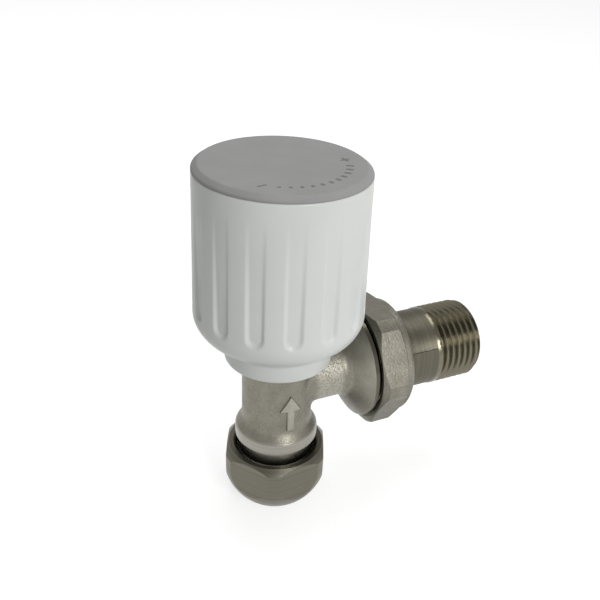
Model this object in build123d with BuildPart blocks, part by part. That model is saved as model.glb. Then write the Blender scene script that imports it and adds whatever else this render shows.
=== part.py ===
from build123d import *
import os
from math import cos, radians, sin, tan

# Angled radiator valve for a 15 mm pipe and a half-inch radiator boss, in millimetres.
# The valve axis is Z, the pipe enters from below at Z = 0 and the tail leaves along +X.
# Threads are plain cylinders at their crest diameter.

# Pipe and thread standards
PIPE_DIAMETER = 15.0
PIPE_CLEARANCE = 0.1
HALF_INCH_DIAMETER = 20.955
THREE_QUARTER_DIAMETER = 26.441
THREAD_GAP = 0.06
THREAD_CHAMFER = 0.7
RUNNING_GAP = 0.05
SEATING_GAP = 0.02
SLIP_GAP = 0.35
END_GAP = 0.3

# Compression joint, measured up from the pipe end of its nut
NUT_FLATS = 25.0
NUT_LENGTH = 15.0
NUT_FOOT_RADIUS = 9.8
NUT_DOME_HEIGHT = 9.8
NUT_FACE_MARGIN = 0.4
NUT_TURNED_RADIUS = 13.7
NUT_CHAMFER = 45.0
NUT_ROTATION = 5.0
NUT_FLOOR = 2.4
NUT_MOUTH = 0.45
NUT_STANDOFF = 3.3
OLIVE_LENGTH = 4.4
OLIVE_WALL = 1.0
OLIVE_EDGE = 0.35
OLIVE_GAP = 0.15
SOCKET_TAPER = 30.0
SOCKET_MOUTH = 2.2
PIPE_DEPTH = 17.0

# Body stem, measured up from the collar above the compression thread
STEM_RADIUS = 8.75
RELIEF_RADIUS = 9.55
RELIEF_LENGTH = 5.4
COLLAR_LENGTH = 2.5
COLLAR_ROUND = 1.2
FLARE_LENGTH = 2.8
FLARE_ROUND = 3.0
COLLAR_TO_OUTLET = 16.0
STEM_ABOVE_OUTLET = 14.0
WATERWAY_RADIUS = 5.0
CHAMBER_RADIUS = 6.5
SEAT_BELOW_OUTLET = 6.0
SEAT_LIP = 0.8
SEAT_WIDTH = 0.8

# Branch, cone and union spigot, measured along +X from the valve axis
BRANCH_RADIUS = 7.6
BRANCH_BLEND = 2.0
CONE_START = 16.4
CONE_ROUND = 2.5
RIM_RADIUS = 14.2
RIM_WIDTH = 1.0
RIM_REACH = 21.2
SPIGOT_RELIEF = 1.2
SPIGOT_LENGTH = 5.0
OUTLET_RADIUS = 4.8
OUTLET_MOUTH = 1.2

# Union nut and tailpiece
UNION_FLATS = 30.6
UNION_CORNER_ROUND = 2.4
UNION_GAP = 0.6
UNION_NEAR_CHAMFER = 1.0
UNION_HEX_LENGTH = 7.2
UNION_FAR_CHAMFER = 1.2
UNION_COLLAR_RADIUS = 14.9
UNION_COLLAR_ROUND = 1.1
UNION_LIP = 1.9
UNION_FACE_MARGIN = 0.3
UNION_TURNED_RADIUS = 16.8
TAIL_SEAL_THICKNESS = 1.2
TAIL_FLANGE_RADIUS = 12.2
TAIL_FLANGE_LENGTH = 1.8
BARREL_RADIUS = 10.2
BARREL_LENGTH = 11.7
BARREL_SHOULDER = 0.9
TAIL_THREAD_LENGTH = 12.0
TAIL_END_CHAMFER = 0.9
TAIL_BORE_RADIUS = 5.6
TAIL_KEY_FLATS = 12.0
TAIL_KEY_DEPTH = 14.0
FLASH_WIDTH = 2.4
FLASH_HEIGHT = 0.3
FLASH_LENGTH = 7.6
FLASH_ANGLE = 160.0

# Headgear under the handwheel
SPINDLE_PITCH = 1.5
SPINDLE_TURNS = 2.5
PLUG_RADIUS = 5.5
PLUG_BASE = 2.8
PLUG_WALL_ABOVE_CLIP = 1.1
PLUG_HEADROOM = 0.4
SEAL_RADIUS = 6.0
SEAL_THICKNESS = 2.0
SEAL_SCREW_RADIUS = 1.4
SEAL_SCREW_HEAD_RADIUS = 2.6
SEAL_SCREW_HEAD = 1.2
SEAL_SCREW_GRIP = 2.0
BUTTON_RADIUS = 3.0
BUTTON_LENGTH = 1.4
BUTTON_GAP = 0.1
CLIP_THICKNESS = 0.8
CLIP_DEPTH = 0.5
CLIP_OPENING = 2.4
SPINDLE_NECK_RADIUS = 1.8
SPINDLE_SHAFT_RADIUS = 2.7
SPINDLE_THREAD_RADIUS = 4.0
SPINDLE_THREAD_LENGTH = 7.0
SPINDLE_RADIUS = 3.2
SPINDLE_SQUARE = 4.5
BONNET_THREAD_RADIUS = 7.0
BONNET_SEAL_THICKNESS = 1.0
BONNET_FLATS = 17.0
BONNET_HEX_LENGTH = 5.0
BONNET_BARREL_RADIUS = 6.0
RING_SECTION = 1.2
RING_INSET = 1.4
RING_SPACING = 2.6
GROOVE_WIDTH = 1.4
PACKING_THICKNESS = 1.2
GLAND_FLATS = 15.0
GLAND_GRIP = 4.5
GLAND_ROOF = 1.8

# Handwheel, measured up from the bottom of its neck
NECK_ABOVE_OUTLET = 7.15
SPOT_FACE_GAP = 0.6
NECK_RADIUS = 12.85
NECK_WALL = 1.8
NECK_ROUND = 0.9
NECK_HEIGHT = 5.3
NECK_DRAFT = 0.6
NECK_BLEND = 1.6
SHOULDER_HEIGHT = 10.1
SHOULDER_ROUND = 6.0
BARREL_FOOT_RADIUS = 20.1
RIM_TOP_RADIUS = 19.25
RIM_HEIGHT = 46.6
WHEEL_WALL = 2.0
RECESS_DEPTH = 3.2
WEB_THICKNESS = 2.0
HUB_RADIUS = 5.4
HUB_GAP = 2.0
SQUARE_GAP = 0.1
RIB_COUNT = 4
RIB_THICKNESS = 1.6
RIB_HEIGHT = 8.0
FLUTE_COUNT = 15
FLUTE_WIDTH = 3.4
FLUTE_FOOT = 14.0
FLUTE_TOP_GAP = 3.5
FLUTE_PHASE = 15.2
FLUTE_DRAFT = 40.0
FLUTE_CUT = 2.0
DISC_HEIGHT = 1.3
DISC_EDGE = 0.4
DISC_BEVEL = 1.3
DISC_ROUND = 0.7
DISC_THICKNESS = 1.7
SKIRT_WALL = 1.4
SCREW_RADIUS = 1.45
SCREW_HOLE_RADIUS = 1.6
SCREW_HEAD_RADIUS = 2.8
SCREW_HEAD_HEIGHT = 1.7
SCREW_GRIP = 7.0
SCREW_SLOT = 0.8
WASHER_RADIUS = 3.6
WASHER_THICKNESS = 0.5

HEX_SIDES = 6

# Radii and heights that follow from the driving sizes
socket_r = PIPE_DIAMETER / 2 + PIPE_CLEARANCE
thread_r = HALF_INCH_DIAMETER / 2
nut_bore_r = thread_r + THREAD_GAP
nut_face_r = NUT_FLATS / 2 - NUT_FACE_MARGIN
nut_chamfer = (NUT_TURNED_RADIUS - nut_face_r) * tan(radians(NUT_CHAMFER))

olive_z = NUT_FLOOR + OLIVE_EDGE + OLIVE_GAP
olive_top = olive_z + OLIVE_LENGTH
taper = tan(radians(SOCKET_TAPER))
mouth_top = olive_top + (OLIVE_EDGE + OLIVE_GAP) / taper
mouth_r = socket_r + SOCKET_MOUTH * taper
foot_z = mouth_top - SOCKET_MOUTH

collar_z = NUT_LENGTH + NUT_STANDOFF
relief_z = collar_z - RELIEF_LENGTH
collar_top = collar_z + COLLAR_LENGTH
flare_top = collar_top + FLARE_LENGTH
outlet_z = collar_z + COLLAR_TO_OUTLET
body_top = outlet_z + STEM_ABOVE_OUTLET
outlet_axis = Axis((0, 0, outlet_z), (1, 0, 0))

seat_z = outlet_z - SEAT_BELOW_OUTLET
lip_z = seat_z + SEAT_LIP
lip_r = WATERWAY_RADIUS + SEAT_WIDTH
lift = SPINDLE_PITCH * SPINDLE_TURNS

plug_z = lip_z + SEAL_THICKNESS
button_z = plug_z + PLUG_BASE + BUTTON_GAP
clip_z = button_z + BUTTON_LENGTH + BUTTON_GAP
plug_top = clip_z + CLIP_THICKNESS + PLUG_WALL_ABOVE_CLIP
cavity_r = BUTTON_RADIUS + BUTTON_GAP
clip_r = cavity_r + CLIP_DEPTH

bonnet_z = plug_top + lift + PLUG_HEADROOM
bonnet_hex_z = body_top + BONNET_SEAL_THICKNESS
shoulder_z = bonnet_hex_z + BONNET_HEX_LENGTH
bonnet_bore_r = SPINDLE_RADIUS + RUNNING_GAP
ring_z = [shoulder_z + RING_INSET, shoulder_z + RING_INSET + RING_SPACING]
bonnet_top = ring_z[1] + lift + RING_SECTION
gland_z = bonnet_top - GLAND_GRIP
gland_roof_z = bonnet_top + PACKING_THICKNESS
gland_top = gland_roof_z + GLAND_ROOF
ring_major_r = bonnet_bore_r - SEATING_GAP - RING_SECTION / 2
groove_r = ring_major_r - RING_SECTION / 2 - SEATING_GAP

neck_z = outlet_z + NECK_ABOVE_OUTLET
neck_bore_r = NECK_RADIUS - NECK_WALL
rim_z = neck_z + RIM_HEIGHT
web_top = rim_z - RECESS_DEPTH
web_z = web_top - WEB_THICKNESS
hub_z = gland_top + HUB_GAP
spindle_top = web_z - END_GAP
wheel_bore_r = RIM_TOP_RADIUS - WHEEL_WALL
rib_reach = RIM_TOP_RADIUS - WHEEL_WALL / 2
disc_top = rim_z + DISC_HEIGHT
barrel_draft = (BARREL_FOOT_RADIUS - RIM_TOP_RADIUS) / (RIM_HEIGHT - SHOULDER_HEIGHT)
flute_r = RIM_TOP_RADIUS + FLUTE_TOP_GAP * barrel_draft
flute_z = neck_z + FLUTE_FOOT

spigot_r = THREE_QUARTER_DIAMETER / 2
spigot_x = RIM_REACH + SPIGOT_RELIEF
face_x = RIM_REACH + SPIGOT_LENGTH
union_x = RIM_REACH + UNION_GAP
union_bore_r = spigot_r + THREAD_GAP
hex_end_x = union_x + UNION_HEX_LENGTH
flange_x = face_x + TAIL_SEAL_THICKNESS
flange_end_x = flange_x + TAIL_FLANGE_LENGTH
lip_x = flange_end_x + RUNNING_GAP
union_end_x = lip_x + UNION_LIP
barrel_end_x = flange_end_x + BARREL_LENGTH
tail_thread_x = barrel_end_x + BARREL_SHOULDER
tail_end_x = tail_thread_x + TAIL_THREAD_LENGTH + TAIL_END_CHAMFER
flash_x = barrel_end_x - FLASH_LENGTH


def about_outlet(*points):
    """Points given as (along X, radius), set round the outlet's axis."""
    return [(x, outlet_z + radius) for x, radius in points]


# Forged and turned body: stem, branch, cone and spigot with their bores
with BuildPart() as valve_body:
    with BuildSketch(Plane.XZ):
        with BuildLine():
            FilletPolyline(
                (0, foot_z),
                (thread_r - THREAD_CHAMFER, foot_z),
                (thread_r, foot_z + THREAD_CHAMFER),
                (thread_r, relief_z),
                (RELIEF_RADIUS, relief_z + thread_r - RELIEF_RADIUS),
                (RELIEF_RADIUS, collar_z),
                (thread_r, collar_z),
                (thread_r, collar_top),
                (STEM_RADIUS, flare_top),
                (STEM_RADIUS, body_top),
                (0, body_top),
                close=True,
                radius=[0, 0, 0, 0, 0, 0, 0, COLLAR_ROUND, FLARE_ROUND, 0, 0],
            )
        make_face()
    revolve(axis=Axis.Z)
    with BuildSketch(Plane.XZ):
        with BuildLine():
            FilletPolyline(
                about_outlet(
                    (0, 0),
                    (0, BRANCH_RADIUS),
                    (CONE_START, BRANCH_RADIUS),
                    (RIM_REACH - RIM_WIDTH, RIM_RADIUS),
                    (RIM_REACH, RIM_RADIUS),
                    (RIM_REACH, spigot_r - THREAD_CHAMFER),
                    (spigot_x, spigot_r - THREAD_CHAMFER),
                    (spigot_x + THREAD_CHAMFER, spigot_r),
                    (face_x - THREAD_CHAMFER, spigot_r),
                    (face_x, spigot_r - THREAD_CHAMFER),
                    (face_x, 0),
                ),
                close=True,
                radius=[0, 0, CONE_ROUND, 0, 0, 0, 0, 0, 0, 0, 0],
            )
        make_face()
    revolve(axis=outlet_axis)
    # The only free-form edges are where the branch runs into the stem
    fillet(valve_body.edges().filter_by(GeomType.BSPLINE), radius=BRANCH_BLEND)
    # Faced flat round the stem, so that the handwheel's neck clears the branch
    with BuildSketch(Plane.XY.offset(neck_z - SPOT_FACE_GAP)):
        Circle(NECK_RADIUS + SPOT_FACE_GAP)
        Circle(STEM_RADIUS, mode=Mode.SUBTRACT)
    extrude(amount=BRANCH_RADIUS, mode=Mode.SUBTRACT)
    # Pipe socket, waterway, raised seat, plug chamber and bonnet thread
    with BuildSketch(Plane.XZ):
        with BuildLine():
            Polyline(
                (0, foot_z),
                (mouth_r, foot_z),
                (socket_r, mouth_top),
                (socket_r, PIPE_DEPTH),
                (WATERWAY_RADIUS, PIPE_DEPTH),
                (WATERWAY_RADIUS, lip_z),
                (lip_r, lip_z),
                (lip_r, seat_z),
                (CHAMBER_RADIUS, seat_z),
                (CHAMBER_RADIUS, bonnet_z - PLUG_HEADROOM),
                (BONNET_THREAD_RADIUS, bonnet_z - PLUG_HEADROOM),
                (BONNET_THREAD_RADIUS, body_top),
                (0, body_top),
                close=True,
            )
        make_face()
    revolve(axis=Axis.Z, mode=Mode.SUBTRACT)
    with BuildSketch(Plane.XZ):
        with BuildLine():
            Polyline(
                about_outlet(
                    (0, 0),
                    (0, OUTLET_RADIUS),
                    (face_x - OUTLET_MOUTH, OUTLET_RADIUS),
                    (face_x, OUTLET_RADIUS + OUTLET_MOUTH),
                    (face_x, 0),
                ),
                close=True,
            )
        make_face()
    revolve(axis=outlet_axis, mode=Mode.SUBTRACT)


# Pipe joint: domed hexagon nut and the olive that it presses on the pipe
with BuildPart() as compression_nut:
    with BuildSketch():
        RegularPolygon(NUT_FLATS / 2, HEX_SIDES, major_radius=False, rotation=NUT_ROTATION)
    extrude(amount=NUT_LENGTH)
    with BuildSketch(Plane.XZ):
        with BuildLine():
            dome = TangentArc((NUT_TURNED_RADIUS, NUT_DOME_HEIGHT), (NUT_FOOT_RADIUS, 0), tangent=(0, -1))
            Polyline(
                dome @ 1,
                (0, 0),
                (0, NUT_LENGTH),
                (nut_face_r, NUT_LENGTH),
                (NUT_TURNED_RADIUS, NUT_LENGTH - nut_chamfer),
                dome @ 0,
            )
        make_face()
    revolve(axis=Axis.Z, mode=Mode.INTERSECT)
    with BuildSketch(Plane.XZ):
        with BuildLine():
            Polyline(
                (0, 0),
                (socket_r, 0),
                (socket_r, NUT_FLOOR),
                (nut_bore_r, NUT_FLOOR + nut_bore_r - socket_r),
                (nut_bore_r, NUT_LENGTH - NUT_MOUTH),
                (nut_bore_r + NUT_MOUTH, NUT_LENGTH),
                (0, NUT_LENGTH),
                close=True,
            )
        make_face()
    revolve(axis=Axis.Z, mode=Mode.SUBTRACT)

with BuildPart() as olive:
    with BuildSketch(Plane.XZ):
        with BuildLine():
            belly = ThreePointArc(
                (socket_r + OLIVE_EDGE, olive_z),
                (socket_r + OLIVE_WALL, olive_z + OLIVE_LENGTH / 2),
                (socket_r + OLIVE_EDGE, olive_top),
            )
            Polyline(belly @ 1, (socket_r, olive_top), (socket_r, olive_z), belly @ 0)
        make_face()
    revolve(axis=Axis.Z)


# Radiator joint: union nut, sealing ring and tailpiece
with BuildPart() as union_nut:
    with BuildSketch(Plane.YZ.offset(union_x)):
        with Locations((0, outlet_z)):
            RegularPolygon(UNION_FLATS / 2, HEX_SIDES, major_radius=False)
    extrude(amount=union_end_x - union_x)
    fillet(union_nut.edges().filter_by(Axis.X), radius=UNION_CORNER_ROUND)
    with BuildSketch(Plane.XZ):
        with BuildLine():
            FilletPolyline(
                about_outlet(
                    (union_x, 0),
                    (union_x, UNION_FLATS / 2 - UNION_FACE_MARGIN),
                    (union_x + UNION_NEAR_CHAMFER, UNION_TURNED_RADIUS),
                    (hex_end_x - UNION_FAR_CHAMFER, UNION_TURNED_RADIUS),
                    (hex_end_x, UNION_COLLAR_RADIUS),
                    (union_end_x, UNION_COLLAR_RADIUS),
                    (union_end_x, 0),
                ),
                close=True,
                radius=[0, 0, 0, 0, 0, UNION_COLLAR_ROUND, 0],
            )
        make_face()
    revolve(axis=outlet_axis, mode=Mode.INTERSECT)
    with BuildSketch(Plane.XZ):
        with BuildLine():
            Polyline(
                about_outlet(
                    (union_x, 0),
                    (union_x, union_bore_r + THREAD_CHAMFER),
                    (union_x + THREAD_CHAMFER, union_bore_r),
                    (flange_x, union_bore_r),
                    (flange_x, TAIL_FLANGE_RADIUS + SLIP_GAP),
                    (lip_x, TAIL_FLANGE_RADIUS + SLIP_GAP),
                    (lip_x, BARREL_RADIUS + SLIP_GAP),
                    (union_end_x, BARREL_RADIUS + SLIP_GAP),
                    (union_end_x, 0),
                ),
                close=True,
            )
        make_face()
    revolve(axis=outlet_axis, mode=Mode.SUBTRACT)

with BuildPart() as tail_seal:
    with BuildSketch(Plane.YZ.offset(face_x)):
        with Locations((0, outlet_z)):
            Circle(TAIL_FLANGE_RADIUS)
            Circle(OUTLET_RADIUS + OUTLET_MOUTH, mode=Mode.SUBTRACT)
    extrude(amount=TAIL_SEAL_THICKNESS)

with BuildPart() as tailpiece:
    with BuildSketch(Plane.XZ):
        with BuildLine():
            Polyline(
                about_outlet(
                    (flange_x, TAIL_BORE_RADIUS),
                    (flange_x, TAIL_FLANGE_RADIUS),
                    (flange_end_x, TAIL_FLANGE_RADIUS),
                    (flange_end_x, BARREL_RADIUS),
                    (barrel_end_x, BARREL_RADIUS),
                    (tail_thread_x, thread_r),
                    (tail_end_x - TAIL_END_CHAMFER, thread_r),
                    (tail_end_x, thread_r - TAIL_END_CHAMFER),
                    (tail_end_x, TAIL_BORE_RADIUS),
                ),
                close=True,
            )
        make_face()
    revolve(axis=outlet_axis)
    # Parting-line ribs left by the forging die on both sides of the barrel
    with BuildSketch(Plane.YZ.offset(flash_x)):
        with Locations((0, outlet_z)):
            with PolarLocations(BARREL_RADIUS, 2, start_angle=FLASH_ANGLE):
                Rectangle(2 * FLASH_HEIGHT, FLASH_WIDTH)
    extrude(amount=FLASH_LENGTH)
    # Hexagon socket for the key that screws the tail into the radiator
    with BuildSketch(Plane.YZ.offset(tail_end_x)):
        with Locations((0, outlet_z)):
            RegularPolygon(TAIL_KEY_FLATS / 2, HEX_SIDES, major_radius=False)
    extrude(amount=-TAIL_KEY_DEPTH, mode=Mode.SUBTRACT)


# Headgear: bonnet and its seal, gland, spindle with its rings, and the plug
with BuildPart() as bonnet_seal:
    with BuildSketch(Plane.XY.offset(body_top)):
        Circle(STEM_RADIUS)
        Circle(BONNET_THREAD_RADIUS, mode=Mode.SUBTRACT)
    extrude(amount=BONNET_SEAL_THICKNESS)

with BuildPart() as bonnet:
    with BuildSketch(Plane.XY.offset(bonnet_hex_z)):
        RegularPolygon(BONNET_FLATS / 2, HEX_SIDES, major_radius=False)
    extrude(amount=BONNET_HEX_LENGTH)
    with BuildSketch(Plane.XY.offset(bonnet_z)):
        Circle(BONNET_THREAD_RADIUS - RUNNING_GAP)
    extrude(amount=bonnet_hex_z - bonnet_z)
    with BuildSketch(Plane.XY.offset(shoulder_z)):
        Circle(BONNET_BARREL_RADIUS)
    extrude(amount=bonnet_top - shoulder_z)
    with BuildSketch(Plane.XY.offset(bonnet_z)):
        Circle(SPINDLE_THREAD_RADIUS + THREAD_GAP)
    extrude(amount=shoulder_z - bonnet_z, mode=Mode.SUBTRACT)
    with BuildSketch(Plane.XY.offset(shoulder_z)):
        Circle(bonnet_bore_r)
    extrude(amount=bonnet_top - shoulder_z, mode=Mode.SUBTRACT)

with BuildPart() as gland_packing:
    with BuildSketch(Plane.XY.offset(bonnet_top)):
        Circle(BONNET_BARREL_RADIUS)
        Circle(bonnet_bore_r, mode=Mode.SUBTRACT)
    extrude(amount=PACKING_THICKNESS)

with BuildPart() as gland_nut:
    with BuildSketch(Plane.XY.offset(gland_z)):
        RegularPolygon(GLAND_FLATS / 2, HEX_SIDES, major_radius=False)
    extrude(amount=gland_top - gland_z)
    with BuildSketch(Plane.XY.offset(gland_z)):
        Circle(BONNET_BARREL_RADIUS + RUNNING_GAP)
    extrude(amount=gland_roof_z - gland_z, mode=Mode.SUBTRACT)
    with BuildSketch(Plane.XY.offset(gland_roof_z)):
        Circle(bonnet_bore_r + SLIP_GAP)
    extrude(amount=GLAND_ROOF, mode=Mode.SUBTRACT)

spindle_thread_top = shoulder_z - lift - END_GAP
spindle_thread_z = spindle_thread_top - SPINDLE_THREAD_LENGTH
square_z = gland_top + HUB_GAP / 2

with BuildPart() as spindle:
    with BuildSketch(Plane.XZ):
        with BuildLine():
            Polyline(
                (0, button_z),
                (BUTTON_RADIUS, button_z),
                (BUTTON_RADIUS, button_z + BUTTON_LENGTH),
                (SPINDLE_NECK_RADIUS, button_z + BUTTON_LENGTH),
                (SPINDLE_NECK_RADIUS, plug_top + PLUG_HEADROOM),
                (SPINDLE_SHAFT_RADIUS, plug_top + PLUG_HEADROOM),
                (SPINDLE_SHAFT_RADIUS, spindle_thread_z),
                (SPINDLE_THREAD_RADIUS, spindle_thread_z),
                (SPINDLE_THREAD_RADIUS, spindle_thread_top),
                (SPINDLE_RADIUS, spindle_thread_top),
                (SPINDLE_RADIUS, square_z),
                (0, square_z),
                close=True,
            )
        make_face()
    revolve(axis=Axis.Z)
    for height in ring_z:
        with BuildSketch(Plane.XY.offset(height - GROOVE_WIDTH / 2)):
            Circle(SPINDLE_RADIUS)
            Circle(groove_r, mode=Mode.SUBTRACT)
        extrude(amount=GROOVE_WIDTH, mode=Mode.SUBTRACT)
    with BuildSketch(Plane.XY.offset(square_z)):
        Rectangle(SPINDLE_SQUARE, SPINDLE_SQUARE)
    extrude(amount=spindle_top - square_z)
    with BuildSketch(Plane.XY.offset(spindle_top)):
        Circle(SCREW_RADIUS + SEATING_GAP)
    extrude(amount=-SCREW_GRIP, mode=Mode.SUBTRACT)

with BuildPart() as spindle_ring_lower:
    with Locations((0, 0, ring_z[0])):
        Torus(ring_major_r, RING_SECTION / 2)

with BuildPart() as spindle_ring_upper:
    with Locations((0, 0, ring_z[1])):
        Torus(ring_major_r, RING_SECTION / 2)

with BuildPart() as plug:
    with BuildSketch(Plane.XZ):
        with BuildLine():
            Polyline(
                (SEAL_SCREW_RADIUS + SEATING_GAP, plug_z),
                (PLUG_RADIUS, plug_z),
                (PLUG_RADIUS, plug_top),
                (cavity_r, plug_top),
                (cavity_r, clip_z + CLIP_THICKNESS),
                (clip_r, clip_z + CLIP_THICKNESS),
                (clip_r, clip_z),
                (cavity_r, clip_z),
                (cavity_r, plug_z + PLUG_BASE),
                (0, plug_z + PLUG_BASE),
                (0, plug_z + SEAL_SCREW_GRIP),
                (SEAL_SCREW_RADIUS + SEATING_GAP, plug_z + SEAL_SCREW_GRIP),
                close=True,
            )
        make_face()
    revolve(axis=Axis.Z)

with BuildPart() as plug_clip:
    with BuildSketch(Plane.XY.offset(clip_z)):
        Circle(clip_r - SEATING_GAP)
        Circle(SPINDLE_NECK_RADIUS + SLIP_GAP, mode=Mode.SUBTRACT)
        with Locations((clip_r / 2, 0)):
            Rectangle(clip_r, CLIP_OPENING, mode=Mode.SUBTRACT)
    extrude(amount=CLIP_THICKNESS)

with BuildPart() as plug_seal:
    with BuildSketch(Plane.XY.offset(lip_z)):
        Circle(SEAL_RADIUS)
        Circle(SEAL_SCREW_RADIUS + SEATING_GAP, mode=Mode.SUBTRACT)
    extrude(amount=SEAL_THICKNESS)

with BuildPart() as plug_screw:
    with BuildSketch(Plane.XY.offset(lip_z)):
        Circle(SEAL_SCREW_RADIUS)
    extrude(amount=SEAL_THICKNESS + SEAL_SCREW_GRIP - SEATING_GAP)
    with BuildSketch(Plane.XY.offset(lip_z)):
        Circle(SEAL_SCREW_HEAD_RADIUS)
    extrude(amount=-SEAL_SCREW_HEAD)
    with BuildSketch(Plane.XY.offset(lip_z - SEAL_SCREW_HEAD)):
        Rectangle(2 * SEAL_SCREW_HEAD_RADIUS, SCREW_SLOT)
    extrude(amount=SCREW_SLOT, mode=Mode.SUBTRACT)


# Handwheel: fluted shell with neck, hub and ribs, closed by a disc and held by a screw
with BuildPart() as handwheel:
    with BuildSketch(Plane.XZ):
        with BuildLine():
            outside = FilletPolyline(
                (neck_bore_r, neck_z),
                (NECK_RADIUS, neck_z),
                (NECK_RADIUS + NECK_DRAFT, neck_z + NECK_HEIGHT),
                (BARREL_FOOT_RADIUS, neck_z + SHOULDER_HEIGHT),
                (RIM_TOP_RADIUS, rim_z),
                radius=[NECK_ROUND, NECK_BLEND, SHOULDER_ROUND],
            )
            Polyline(
                outside @ 1,
                (wheel_bore_r, rim_z),
                (wheel_bore_r, web_top),
                (0, web_top),
                (0, hub_z),
                (HUB_RADIUS, hub_z),
                (HUB_RADIUS, web_z),
                (wheel_bore_r, web_z),
                (wheel_bore_r, neck_z + SHOULDER_HEIGHT + WHEEL_WALL),
                (neck_bore_r, neck_z + NECK_HEIGHT + WHEEL_WALL),
                outside @ 0,
            )
        make_face()
    revolve(axis=Axis.Z)
    with BuildSketch(Plane.XY.offset(web_z)):
        with PolarLocations(rib_reach / 2, RIB_COUNT):
            Rectangle(rib_reach, RIB_THICKNESS)
    extrude(amount=-RIB_HEIGHT)
    with BuildSketch(Plane.XY.offset(hub_z)):
        Rectangle(SPINDLE_SQUARE + 2 * SQUARE_GAP, SPINDLE_SQUARE + 2 * SQUARE_GAP)
    extrude(amount=web_z - hub_z, mode=Mode.SUBTRACT)
    with BuildSketch(Plane.XY.offset(web_z)):
        Circle(SCREW_HOLE_RADIUS)
    extrude(amount=WEB_THICKNESS, mode=Mode.SUBTRACT)
    # The flutes' floors stand upright while the barrel is drafted, so they fade out upwards
    flute_planes = [
        Plane(
            (flute_r * cos(angle), flute_r * sin(angle), flute_z),
            x_dir=(0, 0, 1),
            z_dir=(cos(angle), sin(angle), 0),
        )
        for angle in [radians(FLUTE_PHASE + i * 360 / FLUTE_COUNT) for i in range(FLUTE_COUNT)]
    ]
    with BuildSketch(*flute_planes):
        SlotOverall(RIM_HEIGHT, FLUTE_WIDTH, align=(Align.MIN, Align.CENTER))
    extrude(amount=FLUTE_CUT, taper=-FLUTE_DRAFT, mode=Mode.SUBTRACT)

with BuildPart() as top_disc:
    with BuildSketch(Plane.XZ):
        with BuildLine():
            FilletPolyline(
                (0, disc_top),
                (RIM_TOP_RADIUS - DISC_BEVEL, disc_top),
                (RIM_TOP_RADIUS, rim_z + DISC_EDGE),
                (RIM_TOP_RADIUS, rim_z),
                (wheel_bore_r - SEATING_GAP, rim_z),
                (wheel_bore_r - SEATING_GAP, web_top),
                (wheel_bore_r - SKIRT_WALL, web_top),
                (wheel_bore_r - SKIRT_WALL, disc_top - DISC_THICKNESS),
                (0, disc_top - DISC_THICKNESS),
                close=True,
                radius=[0, DISC_ROUND, DISC_ROUND, 0, 0, 0, 0, 0, 0],
            )
        make_face()
    revolve(axis=Axis.Z)

with BuildPart() as handwheel_washer:
    with BuildSketch(Plane.XY.offset(web_top)):
        Circle(WASHER_RADIUS)
        Circle(SCREW_HOLE_RADIUS, mode=Mode.SUBTRACT)
    extrude(amount=WASHER_THICKNESS)

screw_seat_z = web_top + WASHER_THICKNESS
screw_tip_z = spindle_top - SCREW_GRIP + END_GAP

with BuildPart() as handwheel_screw:
    with BuildSketch(Plane.XY.offset(screw_tip_z)):
        Circle(SCREW_RADIUS)
    extrude(amount=screw_seat_z - screw_tip_z)
    with BuildSketch(Plane.XY.offset(screw_seat_z)):
        Circle(SCREW_HEAD_RADIUS)
    extrude(amount=SCREW_HEAD_HEIGHT)
    with BuildSketch(Plane.XY.offset(screw_seat_z + SCREW_HEAD_HEIGHT)):
        Rectangle(2 * SCREW_HEAD_RADIUS, SCREW_SLOT)
    extrude(amount=-SCREW_SLOT, mode=Mode.SUBTRACT)


pieces = {
    "valve_body": valve_body,
    "compression_nut": compression_nut,
    "olive": olive,
    "union_nut": union_nut,
    "tail_seal": tail_seal,
    "tailpiece": tailpiece,
    "bonnet_seal": bonnet_seal,
    "bonnet": bonnet,
    "gland_packing": gland_packing,
    "gland_nut": gland_nut,
    "spindle": spindle,
    "spindle_ring_lower": spindle_ring_lower,
    "spindle_ring_upper": spindle_ring_upper,
    "plug": plug,
    "plug_clip": plug_clip,
    "plug_seal": plug_seal,
    "plug_screw": plug_screw,
    "handwheel": handwheel,
    "top_disc": top_disc,
    "handwheel_washer": handwheel_washer,
    "handwheel_screw": handwheel_screw,
}
os.makedirs("parts", exist_ok=True)
for name, piece in pieces.items():
    piece.part.label = name
    export_step(piece.part, f"parts/{name}.step")
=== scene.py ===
from math import asin, atan2, cos, hypot, pi, radians, sin, tan

import bmesh
import bpy
from mathutils import Matrix, Vector


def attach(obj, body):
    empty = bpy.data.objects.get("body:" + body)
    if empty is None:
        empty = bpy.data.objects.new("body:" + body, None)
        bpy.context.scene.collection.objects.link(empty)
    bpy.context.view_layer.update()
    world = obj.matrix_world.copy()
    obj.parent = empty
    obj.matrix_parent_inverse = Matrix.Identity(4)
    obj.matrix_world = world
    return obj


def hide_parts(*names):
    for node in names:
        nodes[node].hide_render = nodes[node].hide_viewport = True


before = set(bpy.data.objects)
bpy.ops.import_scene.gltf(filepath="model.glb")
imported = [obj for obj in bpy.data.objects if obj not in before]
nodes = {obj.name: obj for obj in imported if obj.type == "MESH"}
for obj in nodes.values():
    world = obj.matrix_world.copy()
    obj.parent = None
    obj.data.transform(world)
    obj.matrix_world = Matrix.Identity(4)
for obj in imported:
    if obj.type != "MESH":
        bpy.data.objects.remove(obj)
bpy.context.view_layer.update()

scene = bpy.context.scene
scene.view_settings.view_transform = "Standard"

# Named lengths are in metres and named angles in radians
MM = 0.001

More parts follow.
